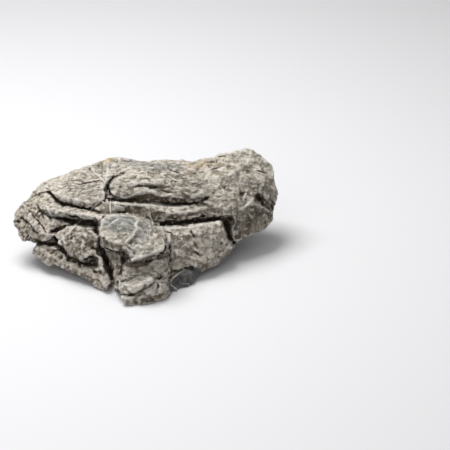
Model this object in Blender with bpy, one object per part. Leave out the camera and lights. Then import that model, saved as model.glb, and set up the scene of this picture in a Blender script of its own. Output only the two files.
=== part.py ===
"""Seiryu stone: one natural piece of grey limestone, about 225 mm long.

The stone is a cluster of weathered blocks grown together, with deep crevices along its bedding and joints.
The front is laid out as it is seen from in front and 28 degrees above, the back in plan and height, both in
units of a 267th of the length. One skin then covers all the blocks and the body behind them.
"""

import math

import bmesh
import bpy
from mathutils import Vector, noise

# Driving dimensions, in metres.
LENGTH = 0.225
UNIT = LENGTH / 267
SKIN_GRID = 0.0015
TRIANGLES = 9400

# The middle of the stone in plan, in layout units. It becomes the origin, at the level of the underside.
MIDDLE = (-1.1, 88)

# The front view: how far it looks down, its centre (across, up), its distance and the depth of its plane.
TILT = math.radians(28)
VIEW_CENTRE = (78, 80)
VIEW_DISTANCE = 1687.5
VIEW_PLANE = -50

# The line in plan that the blocks run in towards, the share of their height left at their backs, and how
# thick the blocks of the top are.
HEART = (Vector((-75, 98, 44)), Vector((80, 112, 44)))
CLOSE_UP = 0.9
TOP_DEPTH = 16

# Swells and dips worn into the faces: how far apart, and how high.
SWELLS = ((26, 2.6), (11, 1.3))

# Front blocks: how deep the block goes, then the corners of its face as (across, up, out).
FRONT_BLOCKS = {
    "boss_left": (34, [
        (-48, 76, -22), (-46, 81, -23), (-42, 87, -24), (-34, 90.5, -24), (-25, 91, -23),
        (-12, 88.5, -18), (-10, 80, -9), (-13, 71, -4), (-20, 63, 1), (-16, 56, 4), (-18, 46, 5),
        (-22, 50, -1), (-35, 54, -8), (-40, 54, -11), (-46, 61, -17)
    ]),
    "boss_right": (34, [
        (-14, 88.5, -19), (-3, 84.5, -18), (3, 82, -17), (9, 76, -15), (15, 71, -13), (18, 65, -12),
        (21, 57, -11), (17, 51, -9), (8, 50, -3), (-4, 46.5, 3), (-18, 43, 5), (-20, 48, 5),
        (-21, 62, 1), (-12, 74, -5), (-2, 66, -1), (6, 60, -1)
    ]),
    "under_boss": (26, [
        (-25, 41, -11), (-12, 44, -15), (9, 47, -17), (9, 34, -9), (2, 29.5, -5), (-6, 31, -4),
        (-20, 33, -6), (-26, 36, -10)
    ]),
    "beside_boss": (30, [
        (8, 48, -17), (20, 51, -18), (22, 42, -18), (24.5, 31, -21), (18, 26, -16), (9, 25, -9),
        (4, 31, -8), (12, 38, -10)
    ]),
    "prow": (40, [
        (-27, 8.5, -4), (-28, 5, -6), (-24, 0, -2), (-20, -2, 0), (-8, -3, 1), (-2, -2, 0), (10, 3, -7),
        (21, 6, -15), (23, 12, -17), (24, 21, -19), (12, 24, -9), (5, 17, -1), (-4, 12.5, 2),
        (-14, 9, 2)
    ]),
    "prow_lobe": (30, [
        (-29, 15, -6), (-25, 20, -3), (-19, 25, 0), (-12, 28, 0), (-2, 28, -1), (3, 24, -2),
        (5, 19, -1), (-4, 17, 3), (-13, 13.5, 4), (-25, 11.5, 0), (-10, 22, 4)
    ]),
    "prow_left": (26, [
        (-33.5, 16, -16), (-32.5, 27, -14), (-28, 31.5, -11), (-20, 30.5, -8), (-19, 26, -6),
        (-26, 18, -8), (-30, 11, -12), (-26, 25, -7)
    ]),
    "chip_left": (24, [
        (-36, 42, -18), (-27, 41, -11), (-24, 36, -9), (-28, 32, -12), (-33, 30, -16)
    ]),
    "pitted_under_boss": (22, [
        (-40, 52, -24), (-24, 50, -13), (-22, 42, -11), (-35, 43, -19), (-38, 46, -24)
    ]),
    "dark_patch": (30, [
        (24, 10, -18), (35, 12, -26), (42, 15, -32), (47, 19, -38), (52, 27, -45), (55, 33, -51),
        (48, 37, -42), (38, 36, -33), (28, 30.5, -27), (24, 22, -21)
    ]),
    "lower_right": (34, [
        (12, 76.5, -22), (25, 77, -27), (43, 77.5, -36), (55, 80, -43), (68, 83, -51), (75, 82, -53),
        (78, 74, -54), (80, 66, -57), (84.5, 58, -61), (85, 52, -62), (78, 46, -61), (68, 39, -58),
        (58, 33, -53), (50, 35, -42), (40, 36, -31), (27, 35, -23), (25, 45, -19), (24, 58, -17),
        (20.5, 66, -17), (48, 62, -35), (64, 60, -46)
    ]),
    "shelf_left": (34, [
        (-34, 92, -27), (-34.5, 99, -33), (-31, 101.5, -35), (-18, 100.5, -34), (0, 100, -36),
        (10, 101, -40), (22, 98, -43), (20, 90, -32), (15, 86, -27), (7, 82, -21), (0, 84.5, -21),
        (-5, 87, -22), (-12, 90, -23), (-24, 92, -25)
    ]),
    "shelf_right": (34, [
        (12, 99, -41), (28, 97, -45), (45, 97.5, -50), (56, 100.5, -55), (75, 95, -53), (88, 93, -60),
        (85, 90, -56), (70, 89, -46), (58, 88, -42), (45, 87.5, -38), (30, 85.5, -33), (15, 86, -28)
    ]),
    "wedge": (22, [
        (-41, 104, -37), (-37, 104, -34), (-35.5, 100, -32), (-36, 92.5, -27), (-43, 92.5, -29),
        (-47, 94, -34)
    ]),
    "tongue_tip": (30, [
        (-82, 96.5, -48), (-70, 94.5, -41), (-60, 92.5, -35), (-50, 90.5, -29), (-45.5, 88, -25),
        (-45.5, 83, -23), (-48, 81.5, -24), (-51, 86.5, -26), (-60, 86.5, -30), (-70, 88, -35),
        (-82, 90, -42)
    ]),
    "tongue_root": (30, [
        (-112, 99, -66), (-112, 107, -72), (-101, 110, -68), (-97, 106, -61), (-91, 100, -54),
        (-78, 96, -46), (-70, 93, -40), (-72, 88.5, -36), (-82, 90, -42), (-96, 89.5, -48),
        (-108, 93.5, -60)
    ]),
    "hump": (34, [
        (-97, 114, -66), (-85, 117, -61), (-70, 118, -56), (-62, 121, -55), (-50, 121.5, -52),
        (-43, 120, -48), (-41.5, 113, -39), (-41.5, 107, -34), (-46, 103.5, -35), (-55, 98.5, -37),
        (-61, 98, -39), (-75, 101.5, -45), (-86, 105, -52), (-93, 111, -61), (-64, 108, -41),
        (-52, 111, -38)
    ]),
    "left_end": (30, [
        (-133.5, 90, -73), (-130, 97, -80), (-120, 106, -79), (-110, 106, -71), (-105, 95, -58),
        (-101, 87, -50), (-101, 77, -48), (-97, 68, -46), (-97, 64, -47), (-106, 66, -50),
        (-116, 67, -56), (-127, 62, -64), (-131, 68, -65), (-132.5, 80, -66), (-114, 80, -52)
    ]),
    "pitted": (30, [
        (-95, 69.5, -46), (-86, 74, -43), (-78, 77.5, -42), (-66, 77, -36), (-51.5, 75.5, -29),
        (-53, 66, -24), (-53.5, 57, -22), (-52, 47, -22), (-60, 44.5, -27), (-71, 46, -32),
        (-80, 50, -37), (-86, 58, -41), (-93, 64, -45), (-72, 62, -28), (-64, 55, -25)
    ]),
    "ledge_over_pitted": (16, [
        (-97, 84, -54), (-84, 85, -50), (-73, 82, -45), (-77, 80.5, -46), (-90, 79.5, -50),
        (-97, 78, -53)
    ]),
    "left_foot": (34, [
        (-111, 50, -62), (-116, 55, -65), (-114, 59, -64), (-106, 57, -54), (-94, 58, -46),
        (-87, 55, -42), (-80, 48, -37), (-68, 42, -33), (-72, 31, -42), (-83, 34, -48),
        (-93, 39.5, -53), (-104, 41, -59)
    ]),
    "left_foot_tip": (34, [
        (-76, 46, -38), (-67, 39, -31), (-57, 34, -25), (-47, 33, -21), (-43.5, 29, -20),
        (-39.5, 22, -19), (-37, 13, -22), (-45, 14, -26), (-56, 20, -31), (-66, 28.5, -38),
        (-76, 32, -45)
    ]),
    "fin": (24, [
        (-52, 51, -27), (-49.5, 51, -25), (-46, 44, -22), (-42.5, 33, -20), (-45, 32, -22),
        (-49, 43, -24)
    ]),
    "right_foot": (34, [
        (91, 91, -63), (96, 95, -66), (103, 101.5, -72), (111, 108, -79), (117, 103, -82),
        (124, 103, -88), (128, 98, -91), (127, 90, -91), (125, 82, -89), (120, 75.5, -85),
        (110, 71, -77), (100, 67.5, -70), (92, 60.5, -65), (88.5, 64, -62), (86, 72, -61),
        (89, 80, -60), (103, 86, -68)
    ]),
    "right_tip": (34, [
        (114, 112, -85), (117, 122, -90), (125, 123, -94), (130, 114, -96), (132.5, 107, -97),
        (130.5, 102, -95), (124, 101, -91), (118, 105, -86), (123, 110, -87)
    ]),
}

# Blocks of the top, given in the same way. Their rear corners lie behind the middle line.
TOP_BLOCKS = {
    "crown_left": (36, [
        (-117, 109, -79), (-110, 111, -73), (-98, 115.5, -69), (-85, 119.5, -66), (-64, 122.5, -60),
        (-48, 124, -56), (-42, 122, -53), (-39, 128, -56), (-36, 148, -74), (-50, 142.5, -76),
        (-62, 138.5, -80), (-78, 130.5, -82), (-95, 127.5, -86), (-109, 119, -86)
    ]),
    "crown_peak": (36, [
        (-50, 125, -57), (-42, 121, -53), (-40, 125.5, -53), (-36, 130, -53), (-29, 132.5, -53),
        (-14, 139, -58), (-8, 144.5, -67), (-15, 147.5, -70), (-25, 150.5, -71), (-35, 148, -75),
        (-50, 142.5, -77), (-56, 132, -65)
    ]),
    "brow_left": (34, [
        (-38, 112, -36), (-34, 108, -31), (-28, 106.5, -28), (-20, 106.5, -28), (-10, 110, -31),
        (2, 112, -34), (12, 107, -38), (22, 110, -44), (30, 125, -56), (33, 143.5, -74),
        (14, 145.5, -69), (4, 146, -67), (-6, 144.5, -66), (-20, 131, -49), (-30, 128, -44),
        (-36, 123, -41), (-18, 116, -32), (0, 126, -43)
    ]),
    "brow_right": (34, [
        (12, 107, -39), (26, 107.5, -42), (40, 105, -46), (48, 105, -49), (54, 108, -53),
        (60, 120, -64), (62, 133, -74), (60, 147.5, -84), (42, 145, -79), (30, 143, -74),
        (18, 125, -50)
    ]),
    "shoulder_front": (36, [
        (52, 91.5, -45), (62, 91, -46), (76, 93, -51), (86, 94, -58), (92, 95, -63), (100, 101, -70),
        (109, 110, -78), (119, 120, -85), (114, 131, -84), (90, 134, -79), (66, 134, -74),
        (58, 128, -69), (58, 110, -57), (58, 104, -53), (70, 110, -57), (88, 113, -68)
    ]),
    "shoulder_top": (36, [
        (44, 131, -70), (60, 129, -71), (90, 131, -79), (116, 127, -86), (125, 128, -92),
        (126, 139, -96), (121, 148, -96), (113, 153.5, -95), (103, 157.5, -95), (92, 156, -92),
        (75, 151, -88), (55, 148, -82), (42, 145.5, -79)
    ]),
}

# Back and end blocks: how deep the block goes, then the corners of its outer side as (x, y, z).
BACK_BLOCKS = {
    "back_crown_left": (36, [
        (-118, 116, 58), (-112, 130, 55), (-102, 142, 46), (-78, 152, 50), (-56, 154, 62),
        (-50, 148, 80), (-56, 139, 83), (-80, 136, 74), (-100, 135, 66)
    ]),
    "back_crown_peak": (36, [
        (-64, 140, 80), (-42, 139, 89), (-25, 136, 95), (-8, 132, 92), (-22, 150, 86), (-44, 153, 81),
        (-1, 146, 84), (-6, 159, 64), (-34, 164, 62), (-58, 156, 68)
    ]),
    "back_brow": (36, [
        (-8, 131, 91), (12, 132, 94), (34, 136, 90), (50, 143, 87), (16, 150, 86), (40, 154, 82),
        (56, 162, 68), (34, 169, 56), (4, 165, 64), (2, 149, 84)
    ]),
    "back_shoulder": (36, [
        (46, 143, 87), (74, 152, 88), (103, 160, 89), (122, 157, 80), (128, 153, 73), (126, 162, 60),
        (118, 169, 68), (100, 174, 71), (76, 171, 72), (100, 175, 52), (72, 173, 46), (54, 168, 58),
        (48, 157, 76)
    ]),
    "back_low_left": (36, [
        (-127, 104, 50), (-129, 112, 38), (-119, 128, 44), (-100, 141, 40), (-74, 150, 44),
        (-50, 154, 40), (-48, 146, 18), (-60, 134, 0), (-86, 124, 8), (-106, 114, 13), (-120, 107, 22)
    ]),
    "back_low_mid": (36, [
        (-52, 156, 52), (-28, 160, 56), (0, 163, 50), (20, 160, 40), (24, 150, 16), (14, 140, -3),
        (-24, 136, -3), (-46, 138, 2), (-54, 148, 26), (-20, 160, 30)
    ]),
    "back_low_right": (36, [
        (14, 160, 46), (40, 166, 50), (72, 168, 42), (92, 162, 30), (88, 150, 14), (60, 144, 2),
        (20, 142, -3), (14, 150, 20), (52, 164, 26)
    ]),
    "back_tip": (34, [
        (84, 166, 46), (104, 171, 50), (120, 162, 52), (131, 146, 57), (135, 136, 50), (129, 132, 34),
        (112, 138, 24), (94, 148, 16), (92, 160, 34)
    ]),
    "back_shelf": (34, [
        (-60, 154, 60), (-38, 162, 64), (-4, 165, 62), (24, 164, 58), (36, 162, 52), (14, 168, 50),
        (-16, 168, 52), (-48, 161, 54), (-62, 154, 54)
    ]),
}

# The body behind the blocks: front points as (across, up, out) and back points as (x, y, z).
BODY = {
    "body_left": ([
        (-112, 95, -84), (-112, 66, -74), (-100, 60, -66), (-84, 50, -58), (-60, 35, -46),
        (-44, 22, -40), (-46, 60, -42), (-46, 85, -48), (-60, 82, -54), (-60, 98, -60), (-84, 98, -68),
        (-90, 115, -82), (-60, 120, -72), (-44, 112, -58)
    ], [
        (-100, 132, 50), (-60, 142, 60), (-58, 132, 78), (-100, 120, 20), (-60, 130, -3), (-38, 130, -4),
        (-60, 64, -3), (-40, 70, -3), (-40, 130, 84)
    ]),
    "body_middle": ([
        (-30, 14, -24), (-20, 8, -14), (14, 14, -18), (30, 22, -34), (-30, 40, -28), (-10, 40, -24),
        (14, 40, -28), (-42, 80, -42), (-30, 88, -42), (5, 80, -38), (12, 62, -28), (-38, 112, -56),
        (-30, 126, -62), (0, 104, -56), (20, 112, -64), (30, 78, -54)
    ], [
        (-34, 36, -4), (-14, 14, -4), (16, 24, -4), (34, 46, -4), (-36, 150, 60), (30, 152, 60),
        (-30, 128, 88), (20, 128, 88), (-40, 124, -4), (30, 126, -4)
    ]),
    "body_right": ([
        (24, 30, -38), (40, 24, -44), (54, 34, -60), (70, 44, -70), (82, 56, -74), (80, 78, -74),
        (60, 84, -64), (30, 80, -56), (56, 106, -72), (90, 104, -84), (110, 100, -94), (110, 76, -90),
        (120, 108, -100), (114, 126, -100), (60, 130, -88)
    ], [
        (24, 44, -4), (46, 64, -4), (56, 78, 2), (78, 94, 16), (112, 120, 32), (30, 126, -4),
        (60, 146, 6), (98, 148, 22), (122, 136, 42), (118, 150, 58), (92, 162, 58), (30, 154, 60),
        (74, 152, 80), (108, 150, 80), (30, 126, 84)
    ]),
}


def front(across, up, out):
    """The point (x, y, z) at a place in the front view: across to the right, up, out towards the viewer."""
    nearer = 1 - (out - VIEW_PLANE) / VIEW_DISTANCE
    across = VIEW_CENTRE[0] + (across - VIEW_CENTRE[0]) * nearer
    up = VIEW_CENTRE[1] + (up - VIEW_CENTRE[1]) * nearer
    y = math.sin(TILT) * up - math.cos(TILT) * out
    z = math.cos(TILT) * up + math.sin(TILT) * out
    return Vector((across, y, z))


def run_in(point, depth):
    """Where a corner of a block's face ends at the block's back, level with it inside the stone."""
    start, end = HEART
    run = end - start
    level = Vector((point.x, point.y, start.z))
    share = max(0, min(1, (level - start).dot(run) / run.length_squared))
    inward = start + run * share - level
    back = level + inward.normalized() * min(depth, inward.length)
    back.z = start.z + (point.z - start.z) * CLOSE_UP
    return back


def run_down(point, depth):
    """The same for a block of the top, whose rear corners go straight down instead."""
    if point.y > HEART[0].y:
        return point - Vector((0, 0, TOP_DEPTH))
    return run_in(point, depth)


def add_hull(name, points):
    """A closed block round a set of layout points."""
    shape = bmesh.new()
    for point in points:
        place = Vector(point) - Vector((*MIDDLE, 0))
        shape.verts.new(place * UNIT)
    made = bmesh.ops.convex_hull(shape, input=shape.verts)
    inside = [item for item in made["geom_interior"] if isinstance(item, bmesh.types.BMVert)]
    bmesh.ops.delete(shape, geom=inside, context="VERTS")
    mesh = bpy.data.meshes.new(name)
    shape.to_mesh(mesh)
    shape.free()
    block = bpy.data.objects.new(name, mesh)
    bpy.context.scene.collection.objects.link(block)
    return block


def add_blocks():
    """The body and all the blocks, each block with its face as given and its back buried in the body."""
    blocks = []
    for name, (seen, hidden) in BODY.items():
        blocks.append(add_hull(name, [front(*corner) for corner in seen] + hidden))
    for name, (depth, corners) in FRONT_BLOCKS.items():
        face = [front(*corner) for corner in corners]
        blocks.append(add_hull(name, face + [run_in(point, depth) for point in face]))
    for name, (depth, corners) in TOP_BLOCKS.items():
        face = [front(*corner) for corner in corners]
        blocks.append(add_hull(name, face + [run_down(point, depth) for point in face]))
    for name, (depth, corners) in BACK_BLOCKS.items():
        face = [Vector(corner) for corner in corners]
        blocks.append(add_hull(name, face + [run_in(point, depth) for point in face]))
    return blocks


def apply_modifier(stone, kind, **settings):
    """Adds a modifier with the given settings and applies it."""
    modifier = stone.modifiers.new(kind.title(), kind)
    for setting, value in settings.items():
        setattr(modifier, setting, value)
    bpy.context.view_layer.objects.active = stone
    bpy.ops.object.modifier_apply(modifier=modifier.name)


def cover(blocks):
    """One closed skin over all the blocks, which leaves the gaps between them open as crevices."""
    bpy.ops.object.select_all(action="DESELECT")
    for block in blocks:
        block.select_set(True)
    bpy.context.view_layer.objects.active = blocks[0]
    bpy.ops.object.join()
    stone = bpy.context.view_layer.objects.active
    stone.name = "seiryu_stone"
    stone.data.name = "seiryu_stone"
    apply_modifier(stone, "REMESH", mode="VOXEL", voxel_size=SKIN_GRID)
    return stone


def keep_largest_body(stone):
    """Drops any small closed body that the skin left inside a gap or beside the stone."""
    shape = bmesh.new()
    shape.from_mesh(stone.data)
    unseen = set(shape.verts)
    bodies = []
    while unseen:
        reached = [unseen.pop()]
        for vert in reached:
            neighbours = [edge.other_vert(vert) for edge in vert.link_edges]
            found = [other for other in neighbours if other in unseen]
            unseen.difference_update(found)
            reached.extend(found)
        bodies.append(reached)
    bodies.sort(key=len)
    small = [vert for body in bodies[:-1] for vert in body]
    bmesh.ops.delete(shape, geom=small, context="VERTS")
    shape.to_mesh(stone.data)
    shape.free()


def weather(stone):
    """Wears the flat faces of the blocks into shallow swells and dips."""
    moves = []
    for vert in stone.data.vertices:
        place = vert.co / UNIT
        height = sum(noise.noise(place / apart) * high for apart, high in SWELLS)
        moves.append(vert.normal * height * UNIT)
    for vert, move in zip(stone.data.vertices, moves):
        vert.co += move


def thin(stone):
    """Brings the skin down to few enough faces, fewest where it is flat."""
    share = TRIANGLES / (2 * len(stone.data.polygons))
    apply_modifier(stone, "DECIMATE", decimate_type="COLLAPSE", ratio=share)


def cut_flat_below(stone):
    """Levels the underside where the stone rests, so that it stands on flat ground."""
    bpy.ops.mesh.primitive_cube_add(size=1, location=(0, 0, -LENGTH / 4))
    ground = bpy.context.object
    ground.name = "ground"
    ground.scale = (2 * LENGTH, 2 * LENGTH, LENGTH / 2)
    bpy.ops.object.transform_apply(location=True, scale=True)
    apply_modifier(stone, "BOOLEAN", operation="DIFFERENCE", object=ground, solver="EXACT")
    bpy.data.objects.remove(ground)


def grey_limestone():
    """Matt grey limestone."""
    material = bpy.data.materials.new("grey_limestone")
    material.use_nodes = True
    shader = material.node_tree.nodes["Principled BSDF"]
    shader.inputs["Base Color"].default_value = (0.30, 0.29, 0.27, 1)
    shader.inputs["Roughness"].default_value = 0.85
    shader.inputs["Metallic"].default_value = 0
    return material


for thing in list(bpy.data.objects):
    bpy.data.objects.remove(thing)

stone = cover(add_blocks())
keep_largest_body(stone)
weather(stone)
thin(stone)
cut_flat_below(stone)
keep_largest_body(stone)
stone.data.materials.clear()
stone.data.materials.append(grey_limestone())
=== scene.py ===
import math

import bmesh
import bpy
import numpy as np
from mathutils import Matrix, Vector, bvhtree, geometry, noise


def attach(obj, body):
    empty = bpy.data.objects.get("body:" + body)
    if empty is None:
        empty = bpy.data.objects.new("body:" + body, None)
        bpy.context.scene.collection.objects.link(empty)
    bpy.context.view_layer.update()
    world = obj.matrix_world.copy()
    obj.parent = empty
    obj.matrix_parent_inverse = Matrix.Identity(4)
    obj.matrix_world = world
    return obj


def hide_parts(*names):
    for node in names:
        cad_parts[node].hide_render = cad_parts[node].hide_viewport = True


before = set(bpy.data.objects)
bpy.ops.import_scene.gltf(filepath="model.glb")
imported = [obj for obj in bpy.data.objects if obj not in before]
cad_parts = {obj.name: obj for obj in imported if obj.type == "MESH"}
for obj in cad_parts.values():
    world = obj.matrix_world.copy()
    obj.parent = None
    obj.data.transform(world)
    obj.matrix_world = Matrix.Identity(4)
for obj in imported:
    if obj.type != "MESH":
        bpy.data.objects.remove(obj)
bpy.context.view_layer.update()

# The stone's rough shape: one piece of hard grey limestone, split by weather along its bedding and joints
# into blocks that still hold together. A copy of the solid gets a fine, even skin, ready to carve. Lengths
# here are in units of a 267th of the stone, as in its source: across, up and out in the front view.
UNIT = 0.225 / 267
MIDDLE = (-1.1, 88.0)


def triples(name):
    """Three numbers for each vertex of the stone's skin."""
    flat = np.empty(3 * len(stone.data.vertices))
    stone.data.vertices.foreach_get(name, flat)
    return flat.reshape(-1, 3)


def places_now():
    """The places of the vertices, in units."""
    return triples("co") / UNIT + (*MIDDLE, 0)


def normals_now():
    """The way that the skin faces at each vertex."""
    return triples("normal")


def set_places(places):
    """Puts the vertices there, none of them below the ground."""
    places = np.c_[places[:, :2], np.maximum(places[:, 2], 0)]
    stone.data.vertices.foreach_set("co", ((places - (*MIDDLE, 0)) * UNIT).ravel())
    stone.data.update()


def apply_modifier(kind, **settings):
    """Adds a modifier to the stone and applies it."""
    modifier = stone.modifiers.new(kind.title(), kind)
    for setting, value in settings.items():
        setattr(modifier, setting, value)
    bpy.ops.object.modifier_apply(modifier=modifier.name)


bpy.ops.object.select_all(action="DESELECT")
stone = bpy.data.objects.new("weathered_stone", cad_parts["seiryu_stone"].data.copy())
bpy.context.scene.collection.objects.link(stone)
bpy.context.view_layer.objects.active = stone
stone.select_set(True)
rough = bmesh.new()
rough.from_mesh(stone.data)
bmesh.ops.remove_doubles(rough, verts=rough.verts, dist=1e-6)
rough.to_mesh(stone.data)
rough.free()
apply_modifier("REMESH", mode="VOXEL", voxel_size=0.00105)

# The broad weathering all over the stone: shallow bowls about 20 mm wide that rain has dissolved, and large
# flat chips that frost has split off, each leaning a little its own way.


def noise_at(places, apart, shift=0.0):
    """Smooth noise from -1 to 1, whose bumps are that far apart."""
    return np.array([noise.noise(place) for place in (places / apart + shift).tolist()])


def noises_at(places, apart, *shifts):
    """One such noise for each shift, side by side."""
    return np.stack([noise_at(places, apart, shift) for shift in shifts], axis=1)


def warp_at(places):
    """A smooth shift of about one unit, for lines and bowls that aren't straight."""
    return noises_at(places, 9, 0, 20, 40)


def soft_step(values, low, high):
    """0 below low, 1 above high and smooth between."""
    share = np.clip((values - low) / (high - low), 0, 1)
    return share * share * (3 - 2 * share)


def bowls_at(places, size, stretch=(1, 1, 1)):
    """Bowls side by side that meet at sharp crests: 0 in the middle of a bowl, more towards its edge."""
    return np.array([noise.voronoi(place)[0][0] for place in (places / size / stretch).tolist()]) ** 2


def break_flat(places, normals, size, lean, most):
    """Breaks the skin into flat chips about that size, each leaning a little its own way."""
    seeds = np.array([noise.voronoi(place)[1][0][:] for place in (places / size).tolist()])
    turns = np.round(normals * 1.1)
    _, chip = np.unique(np.round(np.c_[seeds * 50, turns]), axis=0, return_inverse=True)
    chip = chip.ravel()
    members = np.bincount(chip)
    middles = np.stack([np.bincount(chip, column) for column in places.T], axis=1) / members[:, None]
    faces = np.stack([np.bincount(chip, column) for column in normals.T], axis=1) / members[:, None]
    faces += np.random.default_rng(7).normal(0, lean, faces.shape)
    faces /= np.linalg.norm(faces, axis=1)[:, None] + 1e-9
    gap = np.einsum("ij,ij->i", middles[chip] - places, faces[chip])
    return places + normals * np.clip(gap, -most, most)[:, None]


places, normals = places_now(), normals_now()
top = soft_step(normals[:, 2], 0.3, 0.8)
ground = soft_step(places[:, 2], 0.3, 3.0)
bowls = bowls_at(places + warp_at(places) * 2.5, 24, (1.3, 1.1, 0.9))
places += normals * ((bowls - 0.4) * 3.0 * (1 - 0.5 * top) * ground)[:, None]
set_places(places)
set_places(break_flat(places, normals_now(), 16, 0.10, 1.6))
apply_modifier("REMESH", mode="VOXEL", voxel_size=0.00095)

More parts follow.
